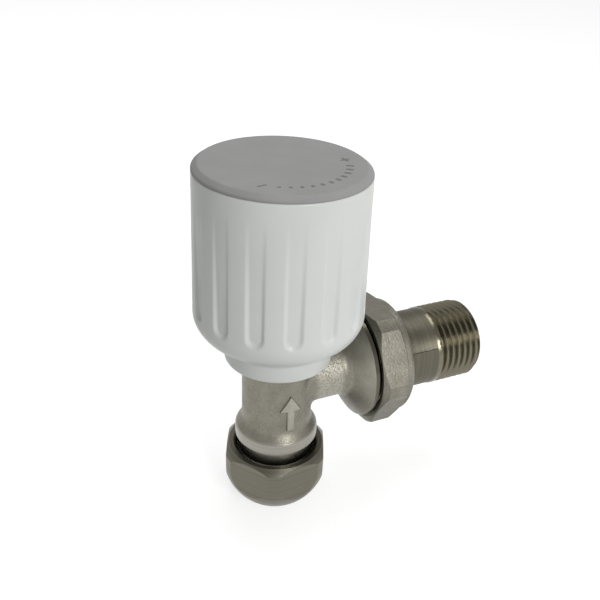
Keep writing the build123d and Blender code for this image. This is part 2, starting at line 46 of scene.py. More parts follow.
# Sizes of the solids that the dressed pieces follow
OUTLET_Z = 34.3 * MM
OUTLET_SEAT = Matrix.Translation((0, 0, OUTLET_Z)) @ Matrix.Rotation(pi / 2, 4, "Y")
PIPE_SEAT = Matrix.Rotation(pi, 4, "X")
STEM_RADIUS = 8.75 * MM
NECK_Z = 41.45 * MM
NECK_RADIUS = 12.85 * MM
NECK_BORE = 11.05 * MM
NECK_TOP_Z = NECK_Z + 5.3 * MM
NECK_TOP_RADIUS = NECK_RADIUS + 0.6 * MM
NECK_ROUND = 0.9 * MM
NECK_BLEND = 1.6 * MM
INNER_STEP_Z = NECK_TOP_Z + 2.0 * MM
SHOULDER_Z = NECK_Z + 10.1 * MM
SHOULDER_ROUND = 6.0 * MM
BARREL_RADIUS = 20.1 * MM
RIM_Z = NECK_Z + 46.6 * MM
RIM_RADIUS = 19.25 * MM
RIM_BORE = 17.25 * MM
RIM_ROUND = 0.5 * MM
DISC_TOP = 89.35 * MM
FLUTE_COUNT = 15
FLUTE_PHASE = radians(15.2)
FLUTE_FOOT_Z = NECK_Z + 14.0 * MM
FLUTE_TOP_GAP = 3.5 * MM
FLUTE_HALF = 1.95 * MM
HALF_INCH = 10.4775 * MM
THREE_QUARTER = 13.2205 * MM
TAIL_THREAD_X = 41.8 * MM
TAIL_END_X = 54.7 * MM
TAIL_CHAMFER = 0.9 * MM
FOOT_Z = 5.966 * MM
RELIEF_Z = 12.9 * MM
SPIGOT_X = 23.1 * MM
SPIGOT_END_X = 26.2 * MM
THREAD_CHAMFER = 0.7 * MM

# Shaping of the cap and its flutes
SKIN_STEPS = 600
WALL_LEAST = 25 * MM
WALL_CUTS = 72
RING_GAP = 0.2 * MM
INNER_SLACK = 0.1 * MM
FLUTE_INNER = FLUTE_HALF - 0.65 * MM
FLUTE_OUTER = FLUTE_HALF + 0.3 * MM
FLUTE_LEAST_RADIUS = RIM_RADIUS - 0.2 * MM

# Shaping of the threads
THREAD_PITCH = 1.814 * MM
THREAD_DEPTH = 1.162 * MM
THREAD_STEPS = 72
THREAD_POINTS = 12
THREAD_ROUNDING = 0.93
THREAD_LEAD = 2
THREAD_SLACK = 0.01 * MM
TAIL_RUN_IN = 1.2 * MM
FOOT_RUN_IN = 1.0 * MM
SPIGOT_RUN_IN = 0.6 * MM
SEAM = 0.02 * MM
SEAM_REACH = 0.05 * MM

# Printed setting scale
SCALE_RADIUS = 14.0 * MM
SCALE_BARS = 11
SCALE_START = radians(-116.9)
SCALE_STEP = radians(9.23)
SCALE_READING = radians(9.5)
BAR_SHORTEST = 0.7 * MM
BAR_GROWTH = 0.1 * MM
BAR_WIDTH = 0.8 * MM
MINUS_RADIUS = 14.2 * MM
MINUS_ANGLE = radians(-130.6)
MINUS_LENGTH = 2.2 * MM
PLUS_RADIUS = 13.6 * MM
PLUS_ANGLE = radians(-9.0)
PLUS_LENGTH = 2.3 * MM
PLUS_LIFT = 0.01 * MM
SIGN_WIDTH = 0.55 * MM
INK_HEIGHT = 0.06 * MM
INK_SINK = 0.015 * MM
INK_ROUND = 0.3

# Raised flow arrow, its outline in millimetres
ARROW_OUTLINE = ((-0.9, 24.4), (0.9, 24.4), (0.9, 30.2), (2.7, 30.2), (0.0, 34.6), (-2.7, 30.2), (-0.9, 30.2))
ARROW_TURN = radians(-91.0)
ARROW_THICKNESS = 1.0 * MM
ARROW_SINK = 0.5 * MM
ARROW_ROUND = 0.22 * MM
ARROW_CUTS = 5
ARROW_CUT_STEP = 0.45 * MM

# Closeness at which points count as one, and turns that make a crease
FINE = 1e-7
CLOSE = 1e-6
LEVEL = 1e-5
CREASE = radians(32)
ARROW_CREASE = radians(35)

# Where one finish passes into the next
TURNED_FROM_Z = 20.9 * MM
TURNED_TO_Z = 21.5 * MM
ROUGH_FROM_X = 6.5 * MM
ROUGH_FULL_X = 9.0 * MM
ROUGH_FADE_X = 14.2 * MM
CONE_FROM_X = 15.8 * MM
CONE_FULL_X = 17.2 * MM
RIM_FROM_X = 20.0 * MM
RIM_FULL_X = 20.3 * MM
# Height below which painted shade darkens the union nut
UNDERSIDE_Z = OUTLET_Z - 6.0 * MM
TAIL_CUT_X = 41.4 * MM
CUT_FADE = 0.6 * MM

# Tones of the finishes
NICKEL_DEEP = (0.200, 0.190, 0.155)
NICKEL_PALE = (0.275, 0.262, 0.219)
NICKEL_TURNED = (0.31, 0.297, 0.252)
NICKEL_WORN = (0.40, 0.385, 0.33)
NICKEL_RAISED = (0.30, 0.287, 0.245)
COLLAR_DEEP = (0.27, 0.26, 0.225)
COLLAR_PALE = (0.36, 0.345, 0.305)
# Painted dark reflection on the rim, standing for the shaded gap beside it
RIM_PAINTED_DARK_REFLECTION = (0.115, 0.108, 0.085)
# Painted shade for the union nut's underside
UNDERSIDE_PAINTED_SHADE = (0.13, 0.122, 0.098)
NUT_DEEP = (0.150, 0.142, 0.112)
NUT_PALE = (0.195, 0.186, 0.150)
TAIL_DEEP = (0.112, 0.104, 0.079)
TAIL_PALE = (0.145, 0.136, 0.105)
THREAD_TONE = (0.190, 0.175, 0.129)
THREAD_ROUGH = 0.22
BRASS_DEEP = (0.58, 0.40, 0.15)
BRASS_PALE = (0.72, 0.53, 0.24)
WHITE_DEEP = (0.70, 0.725, 0.695)
WHITE_PALE = (0.735, 0.755, 0.73)
GREY_DEEP = (0.275, 0.274, 0.272)
GREY_PALE = (0.315, 0.314, 0.311)
INK_DEEP = (0.125, 0.125, 0.126)
INK_PALE = (0.16, 0.16, 0.16)
RUBBER_DEEP = (0.014, 0.014, 0.014)
RUBBER_PALE = (0.03, 0.03, 0.03)
FIBRE_DEEP = (0.20, 0.055, 0.035)
FIBRE_PALE = (0.30, 0.10, 0.06)
PACKING_DEEP = (0.70, 0.70, 0.68)
PACKING_PALE = (0.78, 0.78, 0.76)
ZINC_DEEP = (0.42, 0.42, 0.43)
ZINC_PALE = (0.56, 0.56, 0.57)
MOULDING_IOR = 1.49

# Floor, room, lamps and camera
FLOOR_HALF = 2.2
FLOOR_SHADE = (0.48, 0.48, 0.48, 1.0)
FLOOR_GLOW = (0.71, 0.71, 0.71, 1.0)
HORIZON_LIGHT = 0.78
OVERHEAD_LIGHT = 0.4
LEFT_DIMMING = 0.8
LAMP_AIM = Vector((0.012, 0.0, 0.045))
LAMP_AWAY = 0.8
CAMERA_TURN = radians(-29.0066)
CAMERA_HEIGHT = radians(32.988)
CAMERA_ROLL = radians(4.283)
CAMERA_AIM = Vector((15.0, 0.0, 39.3)) * MM
CAMERA_AWAY = 191.9111 * MM

FLOAT = "NodeSocketFloat"
VECTOR = "NodeSocketVector"


def add(tree, kind, inputs=None, **settings):
    """Adds a node, with its settings and the values or links of its inputs."""
    made = tree.nodes.new(kind)
    for name, value in settings.items():
        setattr(made, name, value)
    for name, value in (inputs or {}).items():
        if isinstance(value, bpy.types.NodeSocket):
            tree.links.new(value, made.inputs[name])
        else:
            made.inputs[name].default_value = value
    return made


def sums(tree, operation, first, second):
    """One sum with two values."""
    return add(tree, "ShaderNodeMath", {0: first, 1: second}, operation=operation).outputs[0]


def scaled(tree, value, share, base=0.0):
    """A value times a share, on top of a base."""
    return add(tree, "ShaderNodeMath", {0: value, 1: share, 2: base}, operation="MULTIPLY_ADD").outputs[0]


def rise(tree, value, low, high, to_low=0.0, to_high=1.0):
    """Goes smoothly from one value to another as the first one passes from low to high."""
    inputs = {"Value": value, "From Min": low, "From Max": high, "To Min": to_low, "To Max": to_high}
    return add(tree, "ShaderNodeMapRange", inputs, interpolation_type="SMOOTHSTEP").outputs[0]


def blend(tree, share, first, second):
    """Mixes two colours by a share."""
    inputs = {0: share}
    for index, value in ((6, first), (7, second)):
        inputs[index] = value if isinstance(value, bpy.types.NodeSocket) else (*value, 1.0)
    return add(tree, "ShaderNodeMix", inputs, data_type="RGBA").outputs[2]


def between(tree, share, first, second):
    """Mixes two values by a share."""
    return add(tree, "ShaderNodeMix", {0: share, 2: first, 3: second}).outputs[0]


def mottle(tree, place, scale, detail=2.0, rough=0.5):
    """Cloudy pattern all over a piece."""
    inputs = {"Vector": place, "Scale": scale, "Detail": detail, "Roughness": rough}
    return add(tree, "ShaderNodeTexNoise", inputs).outputs["Fac"]


def streaks(tree, line, detail, rough=0.5):
    """Uneven pattern along one line."""
    inputs = {"W": line, "Scale": 1.0, "Detail": detail, "Roughness": rough}
    return add(tree, "ShaderNodeTexNoise", inputs, noise_dimensions="1D").outputs["Fac"]


def effect(name, takes, gives):
    """Starts a node group that several finishes share."""
    tree = bpy.data.node_groups.new(name, "ShaderNodeTree")
    for label, kind, value in takes:
        socket = tree.interface.new_socket(label, in_out="INPUT", socket_type=kind)
        if value is not None:
            socket.default_value = value
    for label, kind in gives:
        tree.interface.new_socket(label, in_out="OUTPUT", socket_type=kind)
    return tree, tree.nodes.new("NodeGroupInput").outputs, tree.nodes.new("NodeGroupOutput").inputs


def make_blasted_skin():
    """Grain of a blasted forging: fine pits, slow waves and patches of tone."""
    tree, takes, gives = effect(
        "blasted_skin",
        [("Place", VECTOR, None), ("Grain", FLOAT, 2200.0), ("Waves", FLOAT, 260.0)],
        [("Height", FLOAT), ("Tone", FLOAT), ("Pits", FLOAT)])
    fine = mottle(tree, takes["Place"], takes["Grain"], detail=3.0, rough=0.62)
    slow = mottle(tree, takes["Place"], takes["Waves"])
    spread = {"Vector": takes["Place"], "Scale": takes["Grain"]}
    cells = add(tree, "ShaderNodeTexVoronoi", spread, feature="F1").outputs["Distance"]
    pits = rise(tree, cells, 0.15, 0.6)
    height = scaled(tree, slow, 0.5, scaled(tree, pits, 0.25, scaled(tree, fine, 0.6)))
    tone = scaled(tree, slow, 0.45, scaled(tree, fine, 0.55))
    tree.links.new(height, gives["Height"])
    tree.links.new(rise(tree, tone, 0.3, 0.7), gives["Tone"])
    tree.links.new(pits, gives["Pits"])
    return tree


def make_lathe_lines():
    """Fine rings that a turning tool leaves, across the distance along the axis."""
    tree, takes, gives = effect(
        "lathe_lines",
        [("Along", FLOAT, 0.0), ("Place", VECTOR, None), ("Feed", FLOAT, 9000.0)],
        [("Height", FLOAT), ("Tone", FLOAT)])
    wandering = scaled(tree, mottle(tree, takes["Place"], 90.0), 0.12 * MM, takes["Along"])
    line = sums(tree, "MULTIPLY", wandering, takes["Feed"])
    rings = streaks(tree, line, detail=2.0, rough=0.6)
    broad = streaks(tree, sums(tree, "MULTIPLY", line, 0.11), detail=1.0)
    tone = scaled(tree, broad, 0.5, scaled(tree, rings, 0.5))
    tree.links.new(rings, gives["Height"])
    tree.links.new(rise(tree, tone, 0.3, 0.7), gives["Tone"])
    return tree


def make_handling_marks():
    """Faint smears and scuffs, which change the gloss more than the colour."""
    tree, takes, gives = effect(
        "handling_marks",
        [("Place", VECTOR, None), ("Size", FLOAT, 120.0)],
        [("Smear", FLOAT), ("Scuff", FLOAT)])
    smear = mottle(tree, takes["Place"], takes["Size"], detail=4.0, rough=0.65)
    tree.links.new(rise(tree, smear, 0.35, 0.68), gives["Smear"])
    turned = {"Vector": takes["Place"], "Rotation": (0.4, 0.2, 0.9), "Scale": (1.0, 14.0, 3.0)}
    stretched = add(tree, "ShaderNodeMapping", turned).outputs[0]
    scuff = mottle(tree, stretched, sums(tree, "MULTIPLY", takes["Size"], 2.2), detail=3.0, rough=0.7)
    tree.links.new(rise(tree, scuff, 0.66, 0.78), gives["Scuff"])
    return tree


blasted_skin = make_blasted_skin()
lathe_lines = make_lathe_lines()
handling_marks = make_handling_marks()


def shared(tree, group, **inputs):
    """Places a shared effect in a finish, with values of its own."""
    named = {name.capitalize(): value for name, value in inputs.items()}
    return add(tree, "ShaderNodeGroup", named, node_tree=group).outputs


def finish(name, **values):
    """Starts a finish: its tree, its shader and the place on the part that patterns are read from."""
    made = bpy.data.materials.new(name)
    made.use_nodes = True
    tree = made.node_tree
    shader = tree.nodes["Principled BSDF"]
    for socket, value in values.items():
        shader.inputs[socket].default_value = value
    place = tree.nodes.new("ShaderNodeTexCoord").outputs["Object"]
    return made, tree, shader, place


def along(tree, place, axis):
    """Distance along one axis."""
    return add(tree, "ShaderNodeSeparateXYZ", {0: place}).outputs[axis]


def relief(tree, shader, height, depth, edge=None):
    """Feeds a height of the given depth to the shader, over softened edges where an edge width is given."""
    made = add(tree, "ShaderNodeBump", {"Height": height, "Distance": depth, "Strength": 1.0})
    if edge:
        soft = add(tree, "ShaderNodeBevel", {"Radius": edge}, samples=4)
        tree.links.new(soft.outputs[0], made.inputs["Normal"])
    tree.links.new(made.outputs[0], shader.inputs["Normal"])


def make_forged_nickel():
    """Nickel over the blasted forging, with a turned collar, rough branch, pale cone, and a rim darkened by a
    painted dark reflection.
    """
    made, tree, shader, place = finish("forged_nickel", Metallic=1.0)
    out = along(tree, place, 0)
    up = along(tree, place, 2)
    skin = shared(tree, blasted_skin, place=place)
    lathe = shared(tree, lathe_lines, place=place, along=up)
    marks = shared(tree, handling_marks, place=place)
    collar = rise(tree, up, TURNED_FROM_Z, TURNED_TO_Z, 1.0, 0.0)
    rim = rise(tree, out, RIM_FROM_X, RIM_FULL_X)
    turned = sums(tree, "MAXIMUM", collar, rim)
    branch_start = rise(tree, out, ROUGH_FROM_X, ROUGH_FULL_X)
    branch_end = rise(tree, out, ROUGH_FADE_X, CONE_FROM_X, 1.0, 0.0)
    branch = sums(tree, "MULTIPLY", branch_start, branch_end)
    cone = rise(tree, out, CONE_FROM_X, CONE_FULL_X, 0.0, 0.85)
    forged = blend(tree, skin["Tone"], NICKEL_DEEP, NICKEL_PALE)
    forged = blend(tree, sums(tree, "MULTIPLY", branch, skin["Pits"]), forged, NICKEL_WORN)
    forged = blend(tree, cone, forged, blend(tree, skin["Tone"], NICKEL_TURNED, NICKEL_WORN))
    bright = blend(tree, lathe["Tone"], COLLAR_DEEP, COLLAR_PALE)
    # The rim's dark colour is a painted reflection of the shaded gap beside it
    bright = blend(tree, rim, bright, RIM_PAINTED_DARK_REFLECTION)
    tree.links.new(blend(tree, turned, forged, bright), shader.inputs["Base Color"])
    dull = scaled(tree, marks["Smear"], 0.05, scaled(tree, skin["Tone"], -0.10, 0.50))
    glossy = scaled(tree, marks["Smear"], 0.08, rise(tree, rim, 0.0, 1.0, 0.24, 0.14))
    tree.links.new(between(tree, turned, dull, glossy), shader.inputs["Roughness"])
    grain = sums(tree, "MULTIPLY", skin["Height"], scaled(tree, branch, 1.8, 1.0))
    rings = sums(tree, "MULTIPLY", lathe["Height"], 0.1)
    relief(tree, shader, between(tree, turned, grain, rings), depth=0.05 * MM)
    return made


def make_blasted_nut():
    """Nickel over the blasted faces of the union nut, with painted shade darkening its underside."""
    made, tree, shader, place = finish("blasted_nut_nickel", Metallic=1.0)
    skin = shared(tree, blasted_skin, place=place, grain=1500.0)
    marks = shared(tree, handling_marks, place=place)
    # Painted shade: the nut's colour is darkened towards the bottom
    painted_underside_shade = rise(tree, along(tree, place, 2), UNDERSIDE_Z, OUTLET_Z, 0.65, 0.0)
    tone = blend(tree, skin["Tone"], NICKEL_DEEP, NICKEL_PALE)
    tree.links.new(blend(tree, painted_underside_shade, tone, UNDERSIDE_PAINTED_SHADE), shader.inputs["Base Color"])
    gloss = scaled(tree, marks["Smear"], 0.05, scaled(tree, skin["Tone"], -0.08, 0.46))
    tree.links.new(gloss, shader.inputs["Roughness"])
    relief(tree, shader, skin["Height"], depth=0.07 * MM, edge=0.25 * MM)
    return made


def make_turned_nickel(name, axis, rough, deep, pale, cut_from=None):
    """Nickel over turned brass, with rings round the given axis, glossier where a thread is cut."""
    made, tree, shader, place = finish(name, Metallic=1.0)
    way = along(tree, place, axis)
    lathe = shared(tree, lathe_lines, place=place, along=way)
    marks = shared(tree, handling_marks, place=place)
    tone = blend(tree, lathe["Tone"], deep, pale)
    gloss = scaled(tree, marks["Smear"], 0.09, rough)
    if cut_from:
        cut = rise(tree, way, cut_from - CUT_FADE, cut_from)
        tone = blend(tree, cut, tone, THREAD_TONE)
        gloss = between(tree, cut, gloss, THREAD_ROUGH)
    tree.links.new(blend(tree, marks["Scuff"], tone, NICKEL_WORN), shader.inputs["Base Color"])
    tree.links.new(gloss, shader.inputs["Roughness"])
    relief(tree, shader, lathe["Height"], depth=0.006 * MM, edge=0.2 * MM)
    return made


def make_brass():
    """Bare turned brass of the pieces inside."""
    made, tree, shader, place = finish("turned_brass", Metallic=1.0)
    lathe = shared(tree, lathe_lines, place=place, along=along(tree, place, 2))
    marks = shared(tree, handling_marks, place=place)
    tree.links.new(blend(tree, lathe["Tone"], BRASS_DEEP, BRASS_PALE), shader.inputs["Base Color"])
    tree.links.new(scaled(tree, marks["Smear"], 0.15, 0.24), shader.inputs["Roughness"])
    relief(tree, shader, lathe["Height"], depth=0.006 * MM, edge=0.15 * MM)
    return made


def make_white_moulding():
    """Satin white moulding, with the faintest waves of its mould and a little dust in the gloss."""
    made, tree, shader, place = finish("white_moulding", IOR=MOULDING_IOR)
    slow = mottle(tree, place, 60.0)
    fine = mottle(tree, place, 2600.0)
    marks = shared(tree, handling_marks, place=place, size=150.0)
    tone = blend(tree, rise(tree, slow, 0.3, 0.7), WHITE_DEEP, WHITE_PALE)
    tree.links.new(tone, shader.inputs["Base Color"])
    gloss = scaled(tree, marks["Scuff"], 0.06, scaled(tree, marks["Smear"], 0.07, 0.36))
    tree.links.new(gloss, shader.inputs["Roughness"])
    relief(tree, shader, scaled(tree, fine, 0.3, slow), depth=0.012 * MM)
    return made


def make_grey_moulding():
    """Matte grey moulding with a spark-eroded grain."""
    made, tree, shader, place = finish("grey_moulding", IOR=MOULDING_IOR)
    grain = shared(tree, blasted_skin, place=place, grain=3200.0, waves=150.0)
    tree.links.new(blend(tree, grain["Tone"], GREY_DEEP, GREY_PALE), shader.inputs["Base Color"])
    tree.links.new(scaled(tree, grain["Tone"], 0.1, 0.55), shader.inputs["Roughness"])
    relief(tree, shader, grain["Height"], depth=0.012 * MM, edge=0.2 * MM)
    return made


def make_plain(name, deep, pale, rough, grain, depth, metallic=0.0):
    """Finish of a small piece: two tones of grain over a fine bump."""
    made, tree, shader, place = finish(name, Metallic=metallic)
    skin = shared(tree, blasted_skin, place=place, grain=grain)
    tree.links.new(blend(tree, skin["Tone"], deep, pale), shader.inputs["Base Color"])
    tree.links.new(scaled(tree, skin["Tone"], 0.1, rough), shader.inputs["Roughness"])
    relief(tree, shader, skin["Height"], depth)
    return made


forged_nickel = make_forged_nickel()
blasted_nut_nickel = make_blasted_nut()
nut_nickel = make_turned_nickel("turned_nut_nickel", 2, 0.34, NUT_DEEP, NUT_PALE)
tail_nickel = make_turned_nickel("turned_tail_nickel", 0, 0.42, TAIL_DEEP, TAIL_PALE, cut_from=TAIL_CUT_X)
turned_brass = make_brass()
white_moulding = make_white_moulding()
grey_moulding = make_grey_moulding()
scale_ink = make_plain(
    "scale_ink", INK_DEEP, INK_PALE, rough=0.5, grain=2500.0, depth=0.004 * MM)
black_rubber = make_plain(
    "black_rubber", RUBBER_DEEP, RUBBER_PALE, rough=0.6, grain=1800.0, depth=0.01 * MM)
sealing_fibre = make_plain(
    "sealing_fibre", FIBRE_DEEP, FIBRE_PALE, rough=0.75, grain=1400.0, depth=0.03 * MM)
white_packing = make_plain(
    "white_packing", PACKING_DEEP, PACKING_PALE, rough=0.45, grain=1500.0, depth=0.006 * MM)
raised_nickel = make_plain(
    "raised_nickel", NICKEL_RAISED, NICKEL_WORN, rough=0.3, grain=2200.0, depth=0.03 * MM, metallic=1.0)
zinc_steel = make_plain(
    "zinc_steel", ZINC_DEEP, ZINC_PALE, rough=0.3, grain=1800.0, depth=0.006 * MM, metallic=1.0)

for material, names in (
        (forged_nickel, ("valve_body",)),
        (blasted_nut_nickel, ("union_nut",)),
        (nut_nickel, ("compression_nut",)),
        (tail_nickel, ("tailpiece",)),
        (turned_brass, ("olive", "bonnet", "gland_nut", "spindle", "plug", "plug_screw")),
        (white_moulding, ("handwheel",)),
        (grey_moulding, ("top_disc",)),
        (black_rubber, ("bonnet_seal", "spindle_ring_lower", "spindle_ring_upper", "plug_seal")),
        (sealing_fibre, ("tail_seal",)),
        (white_packing, ("gland_packing",)),
        (zinc_steel, ("plug_clip", "handwheel_washer", "handwheel_screw"))):
    for name in names:
        for slot in nodes[name].material_slots:
            slot.material = material


def piece(name, bm, material, body, replaced=()):
    """Makes a finished piece of a bmesh, riding on its body."""
    mesh = bpy.data.meshes.new(name)
    bm.to_mesh(mesh)
    bm.free()
    mesh.materials.append(material)
    made = bpy.data.objects.new(name, mesh)
    scene.collection.objects.link(made)
    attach(made, body)
    if replaced:
        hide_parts(*replaced)


def shade_by_angle(bm, limit):
    """Smooth shading, with a crease wherever the faces turn by more than the limit."""
    for face in bm.faces:
        face.smooth = True
    for edge in bm.edges:
        edge.smooth = len(edge.link_faces) != 2 or edge.calc_face_angle() < limit


def solid_copy(name):
    """A merged copy of a solid's mesh, ready to be worked on."""
    bm = bmesh.new()
    bm.from_mesh(nodes[name].data)
    bmesh.ops.remove_doubles(bm, verts=bm.verts, dist=FINE)
    return bm


def open_edges(bm, test):
    """Edges of holes whose ends both pass a test."""
    return [edge for edge in bm.edges if edge.is_boundary and all(test(vert.co) for vert in edge.verts)]


def smooth_step(value, low, high):
    """Goes smoothly from 0 to 1 as a value passes from low to high."""
    share = min(max((value - low) / (high - low), 0.0), 1.0)
    return share * share * (3.0 - 2.0 * share)


def radius(co):
    """Distance from the Z axis."""
    return hypot(co.x, co.y)


def drawn(bm, outline):
    """Draws an open outline of (radius, height) in the plane that gets spun."""
    verts = [bm.verts.new((x, 0.0, z)) for x, z in outline]
    return verts + [bm.edges.new(pair) for pair in zip(verts, verts[1:])]


def spun(bm, outline, steps):
    """Spins an outline of (radius, height) round Z."""
    bmesh.ops.spin(bm, geom=drawn(bm, outline), cent=(0, 0, 0), axis=(0, 0, 1), angle=2 * pi, steps=steps,
                   use_merge=True)
    bmesh.ops.remove_doubles(bm, verts=bm.verts, dist=CLOSE)


def round_ring(bm, x, z, reach, segments):
    """Rounds the spun ring at a corner of the outline, reaching so far along both sides."""
    ring = [edge for edge in bm.edges
            if all(abs(radius(vert.co) - x) < CLOSE and abs(vert.co.z - z) < CLOSE for vert in edge.verts)]
    bmesh.ops.bevel(bm, geom=ring, offset=reach, offset_type="OFFSET", affect="EDGES", segments=segments,
                    profile=0.5, material=-1)


def wheel_inside(z):
    """Inner radius of the handwheel's wall at a height."""
    if z < INNER_STEP_Z:
        return NECK_BORE
    share = min((z - INNER_STEP_Z) / (SHOULDER_Z - NECK_TOP_Z), 1.0)
    return NECK_BORE + share * (RIM_BORE - NECK_BORE)


def press_flutes(bm):
    """Presses the upright flutes into the drafted barrel, soft at their edges and fading out upwards."""
    draft = (BARREL_RADIUS - RIM_RADIUS) / (RIM_Z - SHOULDER_Z)
    floor_top = RIM_Z - FLUTE_TOP_GAP
    step = 2 * pi / FLUTE_COUNT
    for vert in bm.verts:
        across = radius(vert.co)
        if vert.co.z < SHOULDER_Z or across < FLUTE_LEAST_RADIUS:
            continue
        turn = (atan2(vert.co.y, vert.co.x) - FLUTE_PHASE + step / 2) % step - step / 2
        below = max(0.0, FLUTE_FOOT_Z + FLUTE_HALF - vert.co.z)
        spread = hypot(turn * across, below)
        floor_depth = max(0.0, (floor_top - vert.co.z) * draft)
        depth = floor_depth * (1.0 - smooth_step(spread, FLUTE_INNER, FLUTE_OUTER))
        vert.co.x *= 1.0 - depth / across
        vert.co.y *= 1.0 - depth / across


def make_handwheel():
    """The fluted white cap: a spun and fluted skin over the hub, ribs and inner wall of the solid."""
    skin = bmesh.new()
    outline = [(NECK_BORE + RING_GAP, NECK_Z), (NECK_RADIUS, NECK_Z), (NECK_TOP_RADIUS, NECK_TOP_Z),
               (BARREL_RADIUS, SHOULDER_Z), (RIM_RADIUS, RIM_Z), (RIM_BORE + RING_GAP, RIM_Z)]
    spun(skin, outline, SKIN_STEPS)
    slope = atan2(SHOULDER_Z - NECK_TOP_Z, BARREL_RADIUS - NECK_TOP_RADIUS)
    reach = tan((pi / 2 - slope) / 2)
    round_ring(skin, NECK_TOP_RADIUS, NECK_TOP_Z, NECK_BLEND * reach, segments=6)
    round_ring(skin, BARREL_RADIUS, SHOULDER_Z, SHOULDER_ROUND * reach, segments=14)
    round_ring(skin, NECK_RADIUS, NECK_Z, NECK_ROUND, segments=6)
    round_ring(skin, RIM_RADIUS, RIM_Z, RIM_ROUND, segments=4)
    walls = [edge for edge in skin.edges if abs(edge.verts[0].co.z - edge.verts[1].co.z) > WALL_LEAST]
    bmesh.ops.subdivide_edges(skin, edges=walls, cuts=WALL_CUTS, use_grid_fill=True)
    press_flutes(skin)
    mesh = bpy.data.meshes.new("handwheel_skin")
    skin.to_mesh(mesh)
    skin.free()
    bm = solid_copy("handwheel")
    outer = [face for face in bm.faces
             if any(radius(vert.co) > wheel_inside(vert.co.z) + INNER_SLACK for vert in face.verts)]
    bmesh.ops.delete(bm, geom=outer, context="FACES")
    bm.from_mesh(mesh)
    bpy.data.meshes.remove(mesh)
    for level in (NECK_Z, RIM_Z):
        loops = open_edges(bm, lambda co: abs(co.z - level) < LEVEL)
        bmesh.ops.triangle_fill(bm, edges=loops, use_beauty=True, normal=(0, 0, 1))
    bmesh.ops.recalc_face_normals(bm, faces=bm.faces)
    shade_by_angle(bm, CREASE)
    piece("handwheel_cap", bm, white_moulding, "handwheel", ("handwheel",))


def cut_thread(bm, seat, crest, start, end, run_in, chamfer):
    """Puts a right-hand thread into the open stretch of a solid, from start to end along the seat's Z."""
    sleeve = bmesh.new()
    outline = []
    for index in range(THREAD_POINTS + 1):
        share = index / THREAD_POINTS
        wave = asin(THREAD_ROUNDING * sin(2 * pi * (share - 0.25))) / asin(THREAD_ROUNDING)
        depth = THREAD_DEPTH * (0.5 - 0.5 * wave)
        outline.append((crest - depth, start + THREAD_PITCH * (share - THREAD_LEAD)))
    turns = int((end - start) / THREAD_PITCH) + 2 * THREAD_LEAD
    bmesh.ops.spin(sleeve, geom=drawn(sleeve, outline), cent=(0, 0, 0), axis=(0, 0, 1), angle=2 * pi * turns,
                   steps=THREAD_STEPS * turns, dvec=(0, 0, THREAD_PITCH / THREAD_STEPS))
    bmesh.ops.remove_doubles(sleeve, verts=sleeve.verts, dist=CLOSE)
    for level, normal in ((start + SEAM, (0, 0, -1)), (end - SEAM, (0, 0, 1))):
        geom = sleeve.verts[:] + sleeve.edges[:] + sleeve.faces[:]
        bmesh.ops.bisect_plane(sleeve, geom=geom, dist=FINE, plane_co=(0, 0, level), plane_no=normal,
                               clear_outer=True)
    for vert in sleeve.verts:
        across = radius(vert.co)
        target = across + (crest - across) * (1.0 - smooth_step(vert.co.z, start, start + run_in))
        target = min(target, crest - chamfer + (end - vert.co.z))
        vert.co.x *= target / across
        vert.co.y *= target / across
    bmesh.ops.transform(sleeve, matrix=seat, verts=sleeve.verts)
    mesh = bpy.data.meshes.new("thread_sleeve")
    sleeve.to_mesh(mesh)
    sleeve.free()
    bm.from_mesh(mesh)
    bpy.data.meshes.remove(mesh)


def open_stretch(bm, seat, start, end, least):
    """Takes the outer faces off a solid between two levels along the seat's Z, leaving the end faces."""
    back = seat.inverted()
    gone = []
    for face in bm.faces:
        places = [back @ vert.co for vert in face.verts]
        on_end = all(abs(place.z - end) < CLOSE for place in places)
        within = all(start - CLOSE < place.z < end + CLOSE and radius(place) > least for place in places)
        if within and not on_end:
            gone.append(face)
    bmesh.ops.delete(bm, geom=gone, context="FACES")


def close_stretch(bm, seat, start, end):
    """Joins a thread to the solid at both ends of its stretch."""
    back = seat.inverted()
    for level in (start, end):
        loops = open_edges(bm, lambda co: abs((back @ co).z - level) < SEAM_REACH)
        bmesh.ops.bridge_loops(bm, edges=loops)


def thread_stretch(bm, seat, crest, start, end, run_in, chamfer):
    """Swaps a plain stretch of a solid for a thread."""
    open_stretch(bm, seat, start, end, crest - chamfer - THREAD_SLACK)
    cut_thread(bm, seat, crest, start, end, run_in, chamfer)
    close_stretch(bm, seat, start, end)


def make_tailpiece():
    """The tail with its half-inch thread cut as a true helix."""
    bm = solid_copy("tailpiece")
    thread_stretch(bm, OUTLET_SEAT, HALF_INCH, TAIL_THREAD_X, TAIL_END_X, TAIL_RUN_IN, TAIL_CHAMFER)
    bmesh.ops.recalc_face_normals(bm, faces=bm.faces)
    shade_by_angle(bm, CREASE)
    piece("threaded_tail", bm, tail_nickel, "tail", ("tailpiece",))


def make_valve_body():
    """The forged body with its pipe-joint and union threads cut as true helices."""
    bm = solid_copy("valve_body")
    thread_stretch(bm, PIPE_SEAT, HALF_INCH, -RELIEF_Z, -FOOT_Z, FOOT_RUN_IN, THREAD_CHAMFER)
    thread_stretch(bm, OUTLET_SEAT, THREE_QUARTER, SPIGOT_X, SPIGOT_END_X, SPIGOT_RUN_IN, THREAD_CHAMFER)
    bmesh.ops.recalc_face_normals(bm, faces=bm.faces)
    shade_by_angle(bm, CREASE)
    piece("threaded_body", bm, forged_nickel, "body", ("valve_body",))


